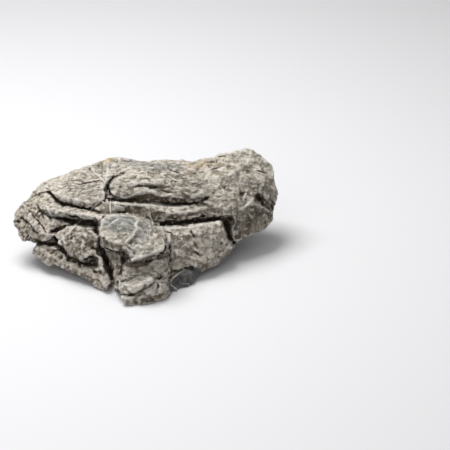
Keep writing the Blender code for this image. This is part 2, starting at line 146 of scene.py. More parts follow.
# Flat faces that the blocks have broken along: how far in they lie, how much they turn left or right and up
# or down from the front view, and their outline there. Outlines and lines give across and up by turns.
TILT = math.radians(28)
VIEW_CENTRE = (78, 80)
VIEW_DISTANCE = 1687.5
VIEW_PLANE = -50
INWARD = np.array((0, math.cos(TILT), -math.sin(TILT)))
FACES = [
    # the crown and the hump below it, with its edge turned under
    (0, -0.3, 1.3, [-117,110, -104,123, -88,129, -76,132, -78,119, -92,114.5, -100,113.5]),
    (0, -0.1, 1, [-78,119, -76,132, -60,139, -44,143, -43,124, -55,122.5, -65,121, -70,118.5]),
    (0, 0, 0.9, [-44,143, -25,150, -12,145, -24,132, -36,128, -41,122, -43,124]),
    (-1.5, -0.1, 0.5, [-98,113, -85,117, -70,118, -63,121, -50,121.5, -42,119, -41,110, -50,104, -60,101,
     -75,103, -86,106, -93,111]),
    (0.5, 0, -0.9, [-94,110.5, -86,105.5, -75,102.5, -60,100.5, -50,103.5, -42,109.5, -41,105, -46,101,
     -55,97, -62,96.5, -75,99, -85,102, -92,107]),
    # the tongue's top, and its underside
    (-1.5, -0.2, 1, [-109,99, -101,110, -96,107, -90,101, -80,98, -70,95.5, -60,93.5, -50,91, -45,89,
     -48,85.5, -60,87, -70,89, -80,91, -92,91, -103,93]),
    (0, 0, -1, [-103,93, -92,91, -80,91, -70,89, -60,87, -50,86, -47,82, -50,80, -66,83, -70,86, -80,87,
     -92,87]),
    # the left end, and the ledge below the tongue
    (0, -0.6, 1, [-132,92, -124,100, -118,107, -113,113, -103,108, -108,99, -118,96]),
    (0, -0.7, -0.1, [-132,92, -118,96, -114,84, -114,68, -122,63, -130,68]),
    (0.5, -0.2, 0.1, [-118,96, -108,99, -103,93, -97,84, -96,74, -106,67, -114,68, -114,84]),
    (2, 0, 0.3, [-103,92, -92,87, -80,88, -76,84, -86,80, -97,75]),
    # the pitted block and the foot to its lower left
    (0, -0.1, 0.9, [-95,70, -90,73, -85,76.5, -78,79, -74,78, -62,76.5, -52,76, -53,69, -66,70, -80,69]),
    (-0.5, -0.35, -0.2, [-95,70, -80,69, -70,69.7, -70,56, -74,47, -82,50, -88,60]),
    (-0.5, 0.15, -0.25, [-70,69.7, -53,69, -52,62, -53,57, -50,47, -57,46, -60,43.5, -70,45, -74,47,
     -70,56]),
    (0, -0.4, 0.3, [-112,50, -117,57, -108,60, -96,57, -88,51, -90,41, -100,40, -108,43]),
    (0, -0.2, 0, [-90,41, -88,51, -76,44, -66,38, -62,30, -70,29, -80,32]),
    (0, -0.3, -0.1, [-66,38, -56,35, -46,33, -39,31, -35,20, -34,14, -50,18, -62,30]),
    # the boss: bluish upper left, pitted lower left, the two that turn right beyond its crest, and its lip
    (-1, -0.25, 0.75, [-49,76, -45,84, -40,90, -25,91.5, -12,89, -10,80, -11,73, -21,64, -34,65, -42,67]),
    (0, -0.7, -0.4, [-49,76, -42,67, -34,65, -22,63, -21,56, -23,50, -35,54, -41,54, -47,61]),
    (0, 0.6, 0.7, [-12,89, -3,85, 6,80, 11,73, 0,70, -11,73, -10,80]),
    (0, 0.35, 0.1, [-11,73, 0,70, 11,73, 17,69, 20,61, 21,56, 8,59, -5,61, -14,57, -18,62]),
    (-0.5, 0.05, -0.35, [-20,60, -14,57, -5,61, 8,59, 21,56, 17,51, 13,54, 3,50, -10,45, -18,43, -22,50]),
    # the recess below it and the block to the right of that
    (2, 0, 0.1, [-26,43, -20,44, -10,43.5, 0,46.5, 6,48, 4,38, 0,33, -20,32, -28,38]),
    (0, 0.3, 0.3, [8,48, 20,50, 21,42, 24,31, 18,26.5, 8,26, 2,33, 4,42]),
    # the shelf's top and its front
    (0, 0, 1.2, [-34,99, -31,103.5, -10,104, 10,103, 30,99.5, 45,99, 54,100, 52,97, 30,92, 10,94, -5,96,
     -20,96]),
    (0, -0.1, -0.2, [-35,92, -34,99, -20,96, -5,96, 5,94, 2,85, -5,87, -10,90, -18,91]),
    (0, 0.05, -0.35, [5,94, 30,92, 52,97, 62,100, 80,94, 72,87, 50,85, 20,82, 8,80.5, 2,85]),
    (2, -0.3, 0.2, [-50,92, -41,105, -36,105, -34.5,99, -35,91, -42,90.5]),
    # the brow's top, its lower face and its underside
    (0, -0.1, 0.9, [-40,112, -33,129, -20,132, 0,128, 25,126, 25,118, 0,119.5, -20,114, -34,110]),
    (-0.5, 0, 0.35, [-34,110, -20,114, 0,119.5, 25,118, 48,116, 54,109, 40,105, 25,106.5, 12,107, 5,112.5,
     -8,111.5, -20,107.5]),
    (0, 0, -1, [-38,110, -30,107, -20,107.5, -8,111.5, 5,112.5, 12,107, 25,106.5, 40,105, 50,107, 50,102.5,
     25,102, 0,104.5, -15,104, -30,105, -39,106]),
    # the right face above the shelf, its ridge and the dark flank beyond it
    (0, 0.15, 0.5, [52,108, 62,119, 80,124, 92,119, 95,108, 80,99, 62,103]),
    (0, 0.1, -0.1, [62,103, 80,99, 95,108, 98,102, 93,94, 84,90, 66,92, 54,98]),
    (0, 0.5, 0.4, [92,119, 104,128, 120,122, 112,112, 104,104, 98,102, 95,108]),
    (0.5, 0.75, -0.3, [93,94, 104,104, 112,112, 119,104, 124,95, 120,80, 110,72, 100,68, 89,61, 86,68,
     86,80]),
    # the lower right face in three, and the dark smooth break at its foot
    (0, 0, 0.4, [8,80, 40,81, 62,84, 80,85, 81,75, 60,71, 40,69, 24,70]),
    (0, 0.2, -0.05, [24,70, 40,69, 60,71, 81,75, 86,62, 84,55, 73,44, 50,46, 30,50, 24,56]),
    (0, 0.35, -0.3, [24,56, 30,50, 50,46, 73,44, 60,34, 50,36, 35,34, 26,30, 22,40]),
    (0, 0.5, -0.5, [22,20, 28,27, 35,33, 50,36, 54,33, 51,27, 46,20, 35,14, 24,12]),
    # the round lobe at the foot, and the prow's tip
    (-1, -0.1, 0.6, [-33,17, -26,23, -15,26, -4,28.7, 0,31, 6,28, 8,22, 0,18, -3,16, -11,11.5, -24,11,
     -31,14]),
    (0, 0.25, -0.15, [-27,9, -11,9.5, -3,14, 0,17, 10,24, 20,20, 22,11, 10,5, -3,1, -20,0.5]),
]


def in_front_view(places):
    """Across, up and out of each place, as the front view shows them."""
    up = math.sin(TILT) * places[:, 1] + math.cos(TILT) * places[:, 2]
    out = math.sin(TILT) * places[:, 2] - math.cos(TILT) * places[:, 1]
    nearer = 1 - (out - VIEW_PLANE) / VIEW_DISTANCE
    across = VIEW_CENTRE[0] + (places[:, 0] - VIEW_CENTRE[0]) / nearer
    up = VIEW_CENTRE[1] + (up - VIEW_CENTRE[1]) / nearer
    return np.stack((across, up, out), axis=1)


def nearest_at(spots, size, count):
    """How far out the nearest skin lies at each spot of a view, found on a grid of squares that size."""
    cell = ((spots[:, :2] + 200) / size).astype(int)
    nearest = np.full((count, count), -1e9)
    np.maximum.at(nearest, (cell[:, 0], cell[:, 1]), spots[:, 2])
    return nearest[cell[:, 0], cell[:, 1]]


def shown(spots, facing):
    """True for the spots that nothing hides in that view."""
    return (spots[:, 2] > nearest_at(spots, 3, 200) - 14) & (facing > -0.25)


def survey(ease=0.0):
    """The skin's places and normals, their spots in the front view, how they face it, and which are seen."""
    places, normals = places_now(), normals_now()
    spots, facing = in_front_view(places), normals @ -INWARD
    return places, normals, spots, facing, shown(spots, facing + ease)


def along_line(spots, line):
    """How far each spot is from a line, on which side, as 1 or -1, and how far along it as a share."""
    line = np.reshape(line, (-1, 2)).astype(float)
    lengths = np.linalg.norm(np.diff(line, axis=0), axis=1)
    starts = np.concatenate(([0], np.cumsum(lengths)))
    best = np.full(len(spots), 1e9)
    side = np.ones(len(spots))
    share = np.zeros(len(spots))
    for start, end, length, before in zip(line[:-1], line[1:], lengths, starts):
        run = (end - start) / length
        offset = spots - start
        along = np.clip(offset @ run, 0, length)
        gap = offset - along[:, None] * run
        far = np.hypot(gap[:, 0], gap[:, 1])
        nearer = far < best
        best[nearer] = far[nearer]
        turn = run[0] * offset[:, 1] - run[1] * offset[:, 0]
        side[nearer] = np.where(turn[nearer] < 0, -1, 1)
        share[nearer] = (before + along[nearer]) / starts[-1]
    return best, side, share


def patch(spots, seen, corners, soft=3.0):
    """1 inside a patch of the front view, 0 outside and soft at its edge."""
    corners = np.reshape(corners, (-1, 2)).tolist()
    x, y = spots[:, 0], spots[:, 1]
    inside = np.zeros(len(spots), dtype=bool)
    for (x1, y1), (x2, y2) in zip(corners, corners[1:] + corners[:1]):
        crosses = (y1 > y) != (y2 > y)
        inside ^= crosses & (x < (x2 - x1) * (y - y1) / (y2 - y1 + 1e-9) + x1)
    far, _, _ = along_line(spots[:, :2], corners + corners[:1])
    return np.where(seen, soft_step(np.where(inside, far, -far), -soft, soft), 0)


places, _, spots, _, seen = survey()
bent_spots = np.c_[spots[:, :2] + noises_at(places, 5, 53, 59) * 0.9, spots[:, 2]]
moves = np.zeros(len(places))
for offset, across, upwards, corners in FACES:
    share = patch(bent_spots, seen, corners, 0.8)
    depth = spots[:, 0] * across + spots[:, 1] * upwards + spots[:, 2]
    depth += offset - np.median(depth[share > 0.5])
    moves = np.where(share > 0, share * np.clip(depth * 0.9, -3, 7), moves)
set_places(places + moves[:, None] * INWARD)
apply_modifier("REMESH", mode="VOXEL", voxel_size=0.00085)
set_places(break_flat(places_now(), normals_now(), 9, 0.2, 1.0))

# Blocks whose broken facets meet in sharp ridges: each one's outline, then the corners inside it, as across,
# up and how far the corner stands out from the block's mean plane, by turns.
BLOCKS = [
    # the boss
    ([-48,76,0, -46,81,0, -43,87,0, -38,90,0.5, -28,91,1, -18,91,1, -12,88.5,1.5, -3,84.5,0, 6,80,-1,
     9,76,-1, 11,73,-1, 15,71,-2, 17,69,-2, 18,65,-1, 20.5,61,-1, 21,54.5,0, 17,51,1, 13,54,1.5, 8,51.5,3,
     0,49,4, -10,45.5,5, -18.5,42,6, -20,47,4.5, -22,50,3, -28,52,1.5, -35,54,-0.5, -41,54.5,-2.5,
     -47,61,-3, -48.5,70,-1], [-12,84,4, -10,78,6.5, -13,71,7, -19,66,7, -21,62,6.5, -16,57,7, -33,79,3.5,
     -38,71,3.5, -29,69,4.2, -45.5,71,2.5, -41,66,3.5, -34,63,4.5, -27,61,5.5, -4,77,3, 3,70,4.5, -5,66,4,
     9,65,2.5, 1,59,6, 10,58,4, 14.5,62,1, -8,52,6]),
    # the tongue, with its blunt tip
    ([-109,99,-1, -104,104,-3, -100,110,-4, -96,107,-4, -90,101,-4, -80,98,-4, -70,95.5,-4, -60,93.5,-3.5,
     -50,91,-2, -46,89,0, -44.5,86,1.5, -46.5,81,1.5, -50.5,82,1, -52,86,0, -60,86.5,-1.5, -66,86,-1.5,
     -70,88,-1.5, -80,90,-1.5, -92,89.5,-1.5, -103,91.5,0, -108,93,0], [-105,97,2.5, -92,94.5,3, -80,93.5,3,
     -70,91.5,3.5, -60,90,3.5, -53,88.8,4, -48,87,5, -47.5,83.5,5]),
    # the hump, whose lower edge turns under
    ([-98,113,-2, -85,117,-2, -70,117.8,-2, -63,121,-2, -50,121.5,-2, -43,119,-1, -41.5,113,0, -41.5,106,0,
     -46,102,-2, -55,97.5,-2, -60,97,-2, -75,100,-2, -85,103,-2, -93,109,-1], [-88,111,1.5, -76,110,2.5,
     -62,112,2.5, -50,113.5,2, -82,106.5,2, -72,104.5,3, -60,103,3.5, -50,106,3]),
    # the shelf
    ([-35,91,-4, -34.5,99,1, -31,104,-2, -10,104.6,-3, 10,103.4,-3, 30,99.8,-3, 45,99,-3, 56,102,-2,
     66,98,0, 76,92,-1, 72,87,-4, 62,85,-5, 50,85,-5, 35,83,-5, 20,82,-5, 8,81,-5, 2,85,-5, -5,87,-5,
     -10,90,-5, -18,91,-5], [-32,101.5,4, -25,101.8,3.5, -15,101,3.5, -5,99.5,3.5, 5,97.5,4, 13,94.5,4,
     22,92,3.5, 32,92,3.5, 45,94.5,3, 56,97,3, -27,95,-0.5, -12,93.5,-1.5, 30,88,-1.5, 50,90,-1]),
    # the left end, with its ridges and furrows
    ([-131,90,0, -130,76,-1, -128,65,-1, -122,64,-2, -114,67,-1, -106,66,-1, -98,70,-2, -97,84,-2,
     -103,92,-1, -108,98,0, -113,104,-1, -119,103,-2, -125,98,-1], [-124,90,2.5, -117,84,4, -109,75,3,
     -116,96,0, -110,88,-2.5, -102,79,-2.5, -108,94,3, -125,79,-1, -119,73,1]),
    # the pitted block
    ([-95,70,-2, -90,73,-2, -85,76.5,-2, -78,79,-2, -74,78,-1, -62,76.5,-1, -55,75,-1, -51.5,76,-2,
     -52.5,62,-2, -54,57,-1, -51.5,47.5,1, -57,46,1, -60,43.5,1, -70,45,0, -76,48,0, -80,50,0, -83,53,-1,
     -86,58,-2, -88,60,-2, -93,65,-2], [-90,68,1.5, -83,72,2, -76,73.5,3, -66,72,3, -56,71,1.5, -82,62,3,
     -73,64,4.5, -64,61,4, -58,55,2.5, -72,54,4, -66,50,3, -80,56,2]),
    # the foot to its left
    ([-112,50,-1, -116,56,-1, -108,60,-2, -96,57,-2, -88,50,-2, -76,44,-1, -66,38,-1, -56,35,-1, -46,34,-1,
     -40,31,-1, -36,20,-2, -35,14,-2, -50,18,-2, -56,20.5,-2, -65,29,-2, -83,34,-2, -93,40,-2, -107,43,-2],
     [-106,54,2, -98,51,2.5, -90,45,2.5, -80,40,3, -70,35,2, -62,33,3, -54,29,3, -45,27,4, -42,20,3,
     -98,45,1, -86,39,0]),
    # the brow, whose lower edge hangs over a brown underside
    ([-39,107,-1, -40,113,-1, -38,121,-1, -30,125,0, -20,122,0, -8,121,0, 5,120,0, 20,118,0, 40,118,0,
     56,115,0, 61,109,0, 54,105.5,-3, 42,103.5,-4, 25,103,-5, 12,104.5,-5, 0,105.5,-6, -15,105.5,-4,
     -30,106,-3], [-34,110,3, -26,109,3.5, -18,110,3.5, -10,112.5,4, 0,114,4.5, 7,112.5,4, 13,109,3.5,
     22,108,3.5, 33,107,3, 45,107.5,3, 54,109.5,2.5, -30,117,1, -10,117,1.5, 12,115,1.5, 35,113,1.5]),
    # the round lobe at the bottom
    ([-33,17,-1, -26,23.3,-1, -15,26,-1, -4,28.9,-1, 0,31.3,0, 6,28,0, 8,22,0, 2,18,0, -3,16,-0.5,
     -11,11.3,-1, -24,10.8,-1, -31,14,-1], [-27,17,2.5, -20,20,3.5, -10,20,4, -2,23,4.5, 4,25,3, -16,14.5,3,
     -7,16.5,3]),
    # the block to the right of the recess
    ([9,48,0, 20,50,0, 20.5,41,0, 23,31,-1, 18,28,-1, 9,27,0, 4,33,0, 5,42,0], [12,45,3, 12,38,3.5, 17,33,3,
     10,31,2]),
    # the prow's tip
    ([-27,9,-1, -26,4,-1, -20,0.5,-3, -10,0,-3, -3,1,-3, 10,5,-3, 21,8,-3, 22,12,-2, 20,20,-2, 10,24.5,-1,
     0,17.5,-1, -3,14,-1, -11,9.5,-1, -24,9,-1], [-18,5.5,2, -7,6,3, 1,11,4, 8,17,4, 11,10,2, 16,15,3]),
]


def facets_over(spots, corners):
    """How far the flat facets between those corners stand out at each spot."""
    flat = [Vector(corner[:2]) for corner in corners.tolist()]
    _, _, faces, *_ = geometry.delaunay_2d_cdt(flat, [], [], 0, 1e-4)
    rise = np.zeros(len(spots))
    for face in faces:
        (x1, y1, r1), (x2, y2, r2), (x3, y3, r3) = corners[face]
        size = (y2 - y3) * (x1 - x3) + (x3 - x2) * (y1 - y3)
        one = ((y2 - y3) * (spots[:, 0] - x3) + (x3 - x2) * (spots[:, 1] - y3)) / size
        two = ((y3 - y1) * (spots[:, 0] - x3) + (x1 - x3) * (spots[:, 1] - y3)) / size
        within = (one > -0.02) & (two > -0.02) & (one + two < 1.02)
        rise[within] = (one * r1 + two * r2 + (1 - one - two) * r3)[within]
    return rise


places, _, spots, facing, seen = survey(0.5)
bent_spots = np.c_[spots[:, :2] + noises_at(places, 4, 63, 69) * 0.8, spots[:, 2]]
front = nearest_at(spots, 2, 300)
out = np.where((facing > 0.15) & (spots[:, 2] > front - 5), spots[:, 2], front)
plan = np.c_[spots[:, :2], np.ones(len(spots))]
moves = np.zeros(len(places))
for outline, inside in BLOCKS:
    share = patch(bent_spots, seen, np.reshape(outline, (-1, 3))[:, :2], 0.7)
    there = (share > 0.5) & (facing > 0.15)
    plane = np.linalg.lstsq(plan[there], spots[there, 2], rcond=None)[0]
    rise = facets_over(bent_spots, np.reshape(outline + inside, (-1, 3)))
    moves = np.where(share > 0, share * np.clip(out - plan @ plane - rise, -7, 7), moves)
set_places(places + moves[:, None] * INWARD)

# Hollows under the overhanging ledges and lips, how deep and their outline in the front view, and the deep
# crevices between the blocks, which water has widened: how wide, how deep, what share of the length narrows
# at the ends, and the line in the front view or, for the back, in a level view from behind.
HOLLOWS = [
    (7, [-24,49, -19,43.5, -12,43.5, -4,45.5, 6,49.5, 14,53, 21,54, 22,47, 15,45, 8,46, 0,40, -8,37, -20,38,
     -26,43]),
    (9, [-90,88, -76,87, -66,85.5, -52,85, -46,82, -48,78, -56,77.5, -66,79, -73,81, -82,84]),
    (7, [6,80, 12,83, 20,84, 35,84.5, 50,86.5, 62,87.5, 76,89.5, 86,89, 86,84.5, 78,84.5, 62,83, 44,80.5,
     20,79, 8,78]),
    (6, [107,108, 110,112, 116,110, 119,104, 124,99, 128,96, 127,92, 120,96, 113,101, 108,104]),
    (7, [75,86, 84,88, 88,84, 85,78, 85,70, 88,62, 84,60, 80,66, 78,74]),
    (7, [-82,52, -74,46.5, -68,44.5, -60,43.5, -55,46, -51,46, -48,40, -47,36, -54,35, -62,38.5, -70,42.5,
     -80,48]),
    (8, [-51,78, -50.5,66, -49.5,58, -46.5,50, -43,43, -40,36, -37,28, -35.5,20, -34.5,11, -33,11, -34,20,
     -35,28, -36.5,35, -37.5,42, -39.5,50, -43,56, -46,62, -47.5,68, -48,78]),
    (7, [-54,60, -52.5,56, -50,52, -47,49, -48,54, -50,58]),
    (7, [-122,63, -114,66, -106,65.5, -98,63, -90,62, -84,60, -80,50, -84,50, -88,57, -96,58, -106,59,
     -113,60, -121,59]),
    (5, [-97,74, -90,77.5, -80,80.5, -72,82, -76,78, -86,75, -93,71]),
    (4, [-110,95.5, -102,93.5, -94,90, -86,88.5, -86,85, -95,86, -103,90, -110,92.5]),
    (7, [-101,115, -96,112.5, -90,106, -85,103, -75,100.5, -65,98, -55,96, -48,94, -42,92, -42,90.5,
     -50,91.5, -60,94.5, -75,98, -86,101, -93,107, -98,112]),
    (7, [-42.2,106, -41.7,112, -40.2,119, -38.5,124, -34,128.7, -28,131.2, -22,132.7, -22.5,130.9,
     -29,128.7, -33.5,126, -36.3,122, -38,116, -39.2,110, -39.6,106]),
    (9, [-41,107.5, -36,106.5, -30,105.5, -15,105, 0,105, 12,103.8, 25,102.3, 42,102.6, 54,105, 62,108.5,
     60,105, 50,100.8, 30,98.3, 20,99, 0,101.2, -15,101.8, -30,103, -38,104.6]),
    (4, [62,109, 66,112.6, 70.5,114.5, 69,111.5]),
    (4, [72,114.5, 76,118, 81,120.3, 77,115.8]),
    (2.5, [-49,92.5, -41,104.5, -37,104.5, -35.5,99, -36,92, -42,91.5]),
    (3, [2,38, 12,30, 8,25, 18,26.5, 23,31, 20,38, 14,44, 8,42]),
]
CREVICES = [
    (4, 9, 0.1, [-100,114, -95,110, -90,104, -85,101.5, -75,99, -65,97, -55,95, -48,93]),
    (5, 9, 0.05, [7,79.5, 20,80.5, 35,81, 50,83.5, 62,85, 74,86.5]),
    (5, 9, 0.1, [74,86, 79,79, 80.5,72, 82.5,66, 87,61]),
    (4, 10, 0.03, [-50,77, -49,69, -47,62, -43,53, -39.5,44, -36.5,34, -34,24, -33.5,13]),
    (2.5, 6, 0.1, [-55,57, -50,52, -46,48]),
    (5, 8, 0.1, [-86,85, -75,83.5, -64,82, -50,80]),
    (3, 6, 0.1, [-97,73, -88,75, -80,79, -72,81]),
    (4.5, 8, 0.1, [-121,62, -113,65, -105,62, -95,60.5, -87,60]),
    (4, 7, 0.1, [-87,60, -83,51, -76,46.5, -67,42, -56,40, -49,40]),
    (3.5, 7, 0.1, [-14,43, -4,45, 5,48.5, 12,50]),
    (3, 7, 0.1, [17,70, 19,65, 22,60, 22.5,52, 22,44, 24,34]),
    (3, 6, 0.05, [-35,17, -27,23.5, -15,27, -4,30, 0,31.5, 7,27, 12,25.5, 18,27, 24,32, 31,36]),
    (3, 7, 0.1, [-31,13.5, -25,10, -18,9.5, -11,11, -6,14, -1,17.5]),
    (2.5, 5, 0.1, [-28,40, -24,35, -27,31, -33,28]),
    (3, 5, 0.1, [22,21, 23,27, 29,31.5, 38,36.5, 50,36]),
    (3.5, 7, 0.1, [108,110, 113,106, 116,100, 121,97, 127,93.5]),
    (2.4, 6, 0.05, [-47,80, -45,86, -41.5,90.5, -33,92, -22,92.5, -12,90.5, -4,86.5, 3,84, 8,80]),
    (2.2, 5, 0.1, [-41,106, -44,101, -48,96, -51,92]),
    (2.2, 5, 0.1, [-40,106, -35.5,103, -33.8,99, -35.5,91]),
    (2.2, 5, 0.2, [-6,15, -1,10, 6,5.5, 12,3]),
    (2.2, 5, 0.2, [8,26, 11.5,20, 10,13, 13,6]),
    (2.2, 5, 0.2, [-34,17, -29,14, -28,10, -31,6]),
    (2.4, 5, 0.2, [-28,56, -26,50, -23,45, -25,38, -27,31, -22,27]),
    (2.2, 4, 0.2, [2,46, 5,40, 3,34, 0,31]),
]
BACK_CREVICES = [
    (4, 8, 0.1, [-112,56, -90,54, -70,60, -52,58, -38,63, -20,57]),
    (3.5, 8, 0.1, [-50,90, -54,78, -49,66, -44,58]),
    (3.5, 8, 0.1, [0,92, 4,80, -2,70, 3,60, -2,52]),
    (4, 8, 0.1, [-18,56, 2,52, 20,53, 38,47, 60,46, 80,40, 96,38]),
    (3.5, 7, 0.1, [44,88, 48,76, 44,64, 50,54, 46,46]),
    (3.5, 7, 0.1, [-46,50, -50,36, -45,20, -48,6]),
    (3, 7, 0.1, [24,50, 18,36, 22,20, 16,6]),
    (3, 6, 0.1, [-104,40, -88,34, -72,36, -58,30, -49,31]),
    (3, 6, 0.1, [92,62, 106,58, 118,60, 130,56]),
    (2.5, 5, 0.2, [60,72, 76,76, 92,74, 110,78]),
    (2.5, 5, 0.2, [-96,66, -84,70, -70,72]),
    (2.5, 5, 0.2, [-30,40, -10,34, 6,36, 18,32]),
]


def cut_cracks(places, spots, seen, cracks, inward):
    """Presses cracks into the skin that shows, ragged, and narrow at their ends. Returns the new places."""
    flat = spots[:, :2] + noises_at(places, 5, 3, 9) + 0.6 * noises_at(places, 2.2, 3, 9)
    uneven = 1 + 0.5 * noise_at(places, 11, 5) + 0.3 * noise_at(places, 4, 6)
    deepest = np.zeros(len(places))
    for width, depth, taper, line in cracks:
        line = np.reshape(line, (-1, 2))
        low, high = line.min(axis=0) - width - 2, line.max(axis=0) + width + 2
        near = np.flatnonzero(seen & np.all((flat > low) & (flat < high), axis=1))
        far, _, share = along_line(flat[near], line)
        ends = np.clip(np.minimum(share, 1 - share) / taper, 0, 1) ** 0.5
        half = width / 2 * (0.35 + 0.65 * ends) * uneven[near]
        profile = np.clip((1 - far / half) * 1.8, 0, 1) * (0.2 + 0.8 * ends)
        deepest[near] = np.maximum(deepest[near], profile * depth)
    return places + deepest[:, None] * inward


places, _, spots, _, seen = survey(0.5)
bent_spots = spots[:, :2] + noises_at(places, 4, 13, 19) * 1.3
for depth, outline in HOLLOWS:
    places += (patch(bent_spots, seen, outline, 0.7) * depth)[:, None] * INWARD
places = cut_cracks(places, spots, seen, CREVICES, INWARD)
behind = places[:, (0, 2, 1)]
seen_behind = shown(behind, normals_now()[:, 1])
set_places(cut_cracks(places, behind, seen_behind, BACK_CREVICES, np.array((0, -1, 0))))
apply_modifier("REMESH", mode="VOXEL", voxel_size=0.00074)

# The weathered surface: rain has dissolved it into cups with thin light rims, deepest on the low blocks, and
# frost has broken it along thin beds into small steps, most on the top. The patches are where one kind of
# weathering or colour is strong in the front view: softness and outline.
PATCHES = {
    "boss_left": (3, [-48,76, -42,88, -30,91, -14,89, -11,80, -18,67, -26,62, -36,66, -44,70]),
    "boss_right": (3, [-12,88, 6,81, 20,66, 22,55, 10,50, -12,44, -22,46, -20,62, -10,76]),
    "pitted": (3, [-96,70, -78,79, -52,76, -53,60, -50,46, -60,43, -80,48, -90,60]),
    "foot": (3, [-113,58, -86,57, -66,42, -40,32, -34,12, -60,22, -96,38, -113,47]),
    "end": (3, [-136,96, -118,106, -104,98, -98,84, -98,64, -118,64, -136,60]),
    "low_right": (3, [12,77, 70,86, 88,58, 70,38, 50,34, 26,36, 22,60]),
    "flank": (3, [92,94, 104,104, 112,112, 120,104, 130,98, 128,80, 112,70, 96,62, 88,60, 85,78]),
    "dark_break": (3, [23,11, 22,20, 28,28, 36,35, 52,38, 57,30, 50,16]),
    "below_boss": (3, [-47,58, -28,52, -22,49, -24,40, -27,31, -34,28, -37,33, -42,45]),
    "right_face": (4, [54,98, 60,108, 80,122, 104,126, 122,116, 112,108, 93,93, 84,90, 66,92]),
    "shelf_front": (1.5, [-35,91, -34.5,101, -25,101.5, -12,100.5, 0,98.5, 10,95, 22,92, 40,91, 60,94,
     62,86, 20,82, 8,81, -5,87, -18,91]),
    "prow_tip": (2, [-28,10, -20,8, -8,7, 2,10, 10,9, 20,10, 21,7, 8,3, -6,0, -22,0]),
    "wedge": (1.5, [-50,92, -41,105, -36,105, -34.5,99, -35,91, -42,90.5]),
    "recess": (3, [-24,44, -10,42, 2,45, 14,51, 22,50, 20,44, 8,42, 4,36, -6,33, -22,34, -28,40]),
    "boss_flank": (2, [-49,72, -44,67.5, -38,63.5, -30,60.5, -22,60, -16,54, -22,50, -28,52, -35,54,
     -41,54.5, -47,61]),
}
BEDS = Vector((0.10, -0.42, 0.90)).normalized()


def sum_of(**shares):
    """The patches added up, each times its share."""
    return sum(share * marks[name] for name, share in shares.items())


def most_of(**shares):
    """The strongest of the patches, each times its share."""
    return np.maximum.reduce([share * marks[name] for name, share in shares.items()])


places, normals, spots, _, seen = survey()
marks = {name: patch(spots, seen, outline, soft) for name, (soft, outline) in PATCHES.items()}
ground = soft_step(places[:, 2], 0.3, 3.0)
top = soft_step(normals[:, 2], 0.3, 0.8)
left_end = soft_step(-places[:, 0], 104, 120)
smooth = most_of(boss_left=1, dark_break=1)

warp = warp_at(places)
bent = places + warp * 2.5
variety = 0.5 + 0.5 * noise_at(places, 34, 70)
bowls_9 = bowls_at(bent + 40, 9.5, (1.2, 1, 0.9))
bowls_5 = bowls_at(bent + 80, 5.2)
bowls_3 = bowls_at(places + warp * 0.8, 3.1)
ragged = np.array([noise.hetero_terrain(p, 0.8, 2.1, 4, 0.4) for p in (places / 9 + 7).tolist()])
cup_depth = np.where(seen, 0.15 + 0.3 * variety, 0.4 + 0.6 * variety)
cup_depth += sum_of(pitted=1, foot=0.7, low_right=1.1, boss_right=1, flank=0.5)
cup_depth += sum_of(below_boss=0.8, boss_flank=0.7)
cup_depth = np.clip(cup_depth - 0.4 * smooth - 0.45 * top, 0.06, 1.4)

layer = bent @ np.array(BEDS) / 4.4 + 0.8 * noise_at(places, 24, 11) + 0.25 * noise_at(places, 6, 31)
step = layer - np.floor(layer)
step = np.where(step < 0.8, step / 0.8, (1 - step) / 0.2)
bed_strength = soft_step(noise_at(places, 28, 90), -0.3, 0.4) * (0.35 + 0.65 * top)
bed_strength = np.clip(bed_strength + sum_of(end=0.5, boss_left=-0.8, pitted=-0.4), 0, 1)
streaks = (places * (0.22, 0.95, 1.0) + warp) / 7
streaks = np.array([noise.ridged_multi_fractal(p, 0.8, 2.2, 4, 1.0, 2.0) for p in streaks.tolist()]) - 1.0
grit = np.array([noise.fractal(p, 0.6, 2.0, 3) for p in (places / 2.2).tolist()])
pits = soft_step(noise_at(places + warp, 3.1, 33), 0.2, 0.45)

height = ((bowls_9 - 0.4) * 1.5 + (bowls_5 - 0.4) * 0.9 + (bowls_3 - 0.4) * 0.4) * cup_depth
height += np.clip(ragged - 0.4, -1, 1.2) * (0.25 + sum_of(end=1.6, foot=0.8, pitted=0.5) - 0.2 * smooth)
height += ((bowls_5 - 0.35) * 1.6 + (bowls_3 - 0.35) * 1.2 + grit * 0.8) * left_end
height += (bowls_5 - 0.4) * 1.5 * np.clip(sum_of(pitted=1, foot=0.7), 0, 1)
height += streaks * 0.55 * (0.25 + 0.75 * top) * (1 - 0.7 * marks["boss_left"])
height += (step - 0.5) * bed_strength + grit * 0.24
height -= pits * 1.3 * np.clip(cup_depth - 0.3, 0, 1)
places += normals * (height * ground)[:, None]
set_places(places)
places = break_flat(places, normals_now(), 6, 0.22, 0.5)
set_places(places)
rugged = most_of(end=0.9, foot=0.7, pitted=0.6, below_boss=0.6, low_right=0.35, boss_right=0.4)
rugged = (np.maximum(left_end, rugged) * ground)[:, None]
places += (break_flat(places, normals_now(), 4.6, 0.5, 1.4) - places) * rugged
set_places(places)
places = break_flat(places, normals_now(), 3.6, 0.3, 0.22)

